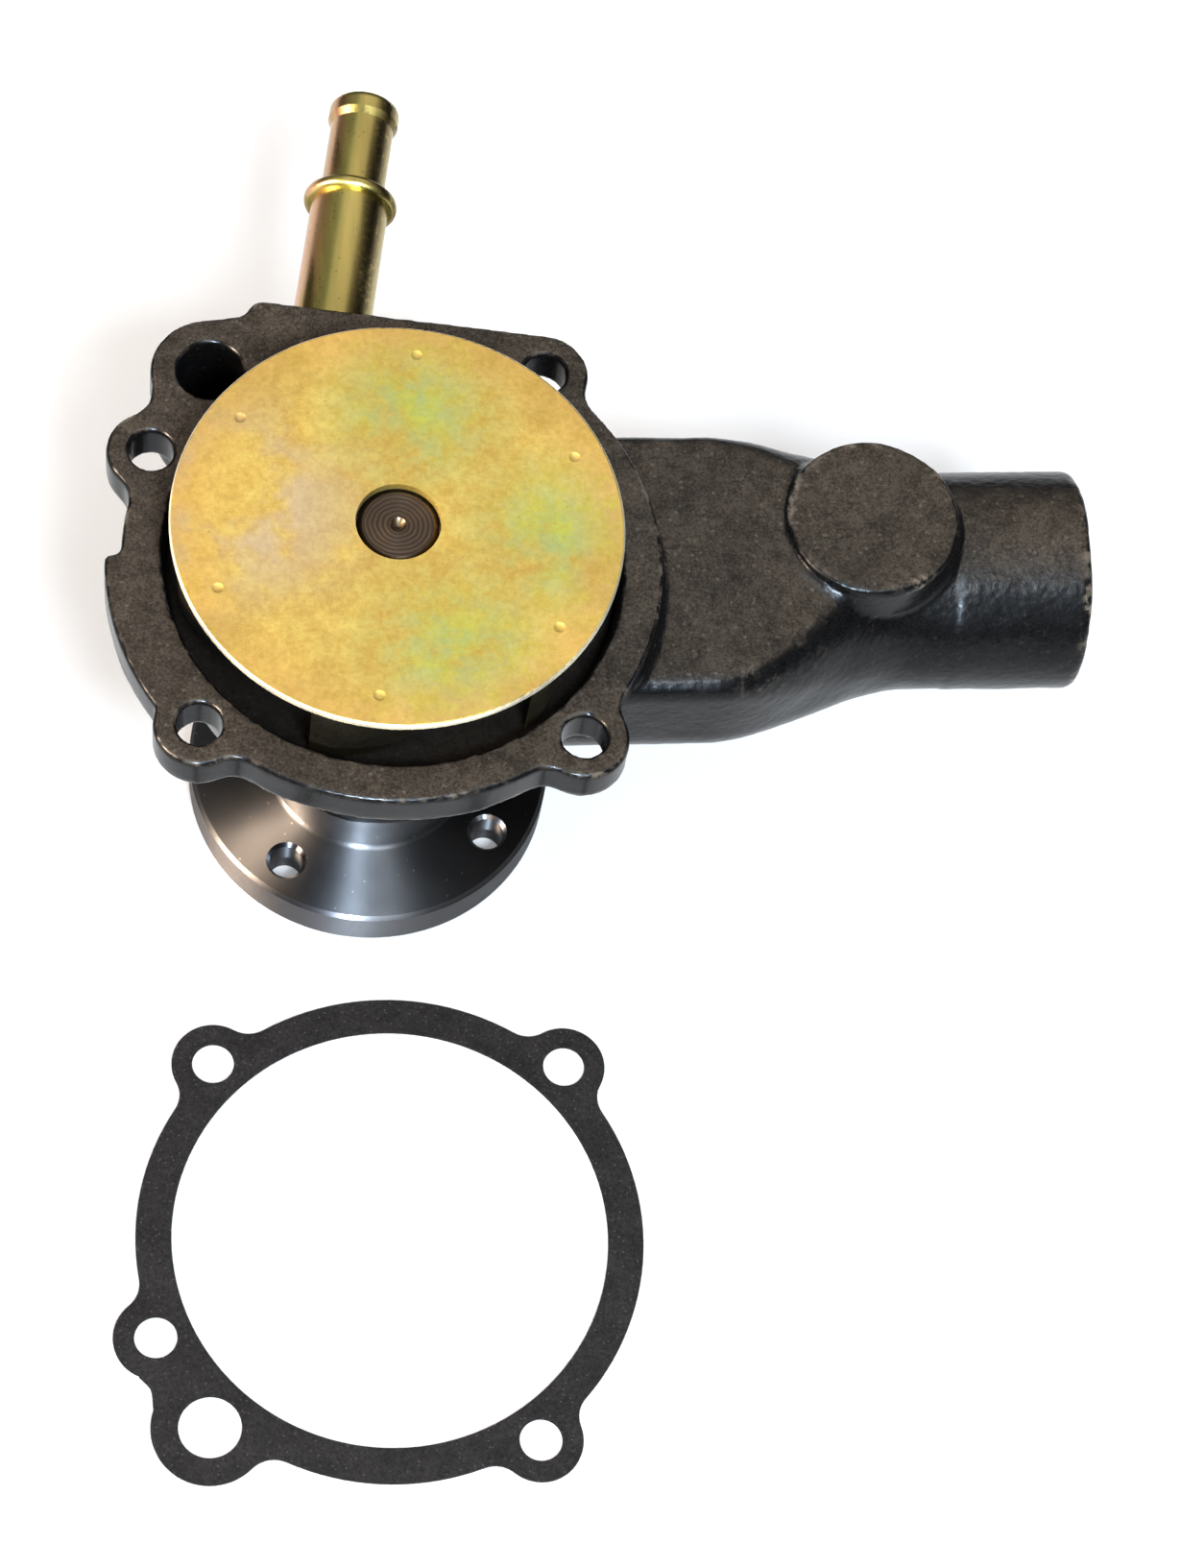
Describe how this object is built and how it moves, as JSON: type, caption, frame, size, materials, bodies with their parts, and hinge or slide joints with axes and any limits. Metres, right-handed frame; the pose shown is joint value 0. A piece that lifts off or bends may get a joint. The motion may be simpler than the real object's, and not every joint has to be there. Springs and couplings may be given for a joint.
{
  "type": "automotive water pump",
  "caption": "Cast-iron engine coolant pump with a pulley hub on a sealed bearing shaft, a shrouded impeller, a side inlet pipe, a heater nipple and its loose block gasket.",
  "frame": {"origin": "centre of the pulley hub's outer face, on the shaft axis; the pump stands on that face", "axes": "+Z along the shaft towards the engine block, +X along the inlet arm, +Y towards the heater nipple"},
  "size_m": [0.1974, 0.2719, 0.111],
  "materials": {
    "cast_iron_black": "rough cast iron with thin black paint, satin",
    "hub_black_steel": "turned steel with a black oxide or black paint finish, glossy",
    "bearing_steel": "ground bearing steel",
    "ball_steel": "polished bearing steel",
    "cage_plastic": "moulded nylon",
    "seal_rubber": "moulded black rubber",
    "cup_brass": "drawn brass",
    "spring_steel": "stainless spring wire",
    "seal_carbon": "lapped carbon graphite",
    "seal_ceramic": "lapped alumina ceramic",
    "yellow_zinc_plate": "stamped steel, yellow zinc plated, satin",
    "olive_zinc_plate": "steel tube, olive yellow zinc plated, semi-gloss",
    "gasket_fibre": "dark pressed gasket fibre, matte"
  },
  "bodies": {
    "housing": {"pump_housing": "cast_iron_black", "bearing_outer_race": "bearing_steel", "front_grease_seal": "seal_rubber", "rear_grease_seal": "seal_rubber", "seal_cup": "cup_brass", "seal_bellows": "seal_rubber", "seal_spring": "spring_steel", "heater_nipple": "olive_zinc_plate", "block_gasket": "gasket_fibre"},
    "rotor": {"bearing_shaft": "bearing_steel", "pulley_hub": "hub_black_steel", "shaft_slinger": "seal_rubber", "mating_ring": "seal_ceramic", "mating_ring_boot": "seal_rubber", "impeller_hub": "bearing_steel", "impeller_vanes": "yellow_zinc_plate", "impeller_disc": "yellow_zinc_plate"},
    "front_ball_set": {"front_bearing_balls": "ball_steel", "front_ball_cage": "cage_plastic"},
    "rear_ball_set": {"rear_bearing_balls": "ball_steel", "rear_ball_cage": "cage_plastic"},
    "seal_nose": {"seal_retainer": "cup_brass", "seal_carbon_ring": "seal_carbon"}
  },
  "joints": [
    {"name": "shaft_spin", "type": "hinge", "parent": "housing", "child": "rotor", "pos_m": [0, 0, 0.06], "axis": [0, 0, 1], "continuous": true},
    {"name": "front_ball_orbit", "type": "hinge", "parent": "housing", "child": "front_ball_set", "pos_m": [0, 0, 0.0385], "axis": [0, 0, 1], "continuous": true},
    {"name": "rear_ball_orbit", "type": "hinge", "parent": "housing", "child": "rear_ball_set", "pos_m": [0, 0, 0.0555], "axis": [0, 0, 1], "continuous": true},
    {"name": "seal_face_slide", "type": "slide", "parent": "housing", "child": "seal_nose", "axis": [0, 0, 1], "range_m": [-0.0015, 0], "stiffness_N_per_m": 500, "springref_m": 0.004, "deforming": ["seal_spring", "seal_bellows"]}
  ],
  "couplings": [
    {"joint": "front_ball_orbit", "follows": "shaft_spin", "ratio": 0.31346},
    {"joint": "rear_ball_orbit", "follows": "shaft_spin", "ratio": 0.31346}
  ]
}
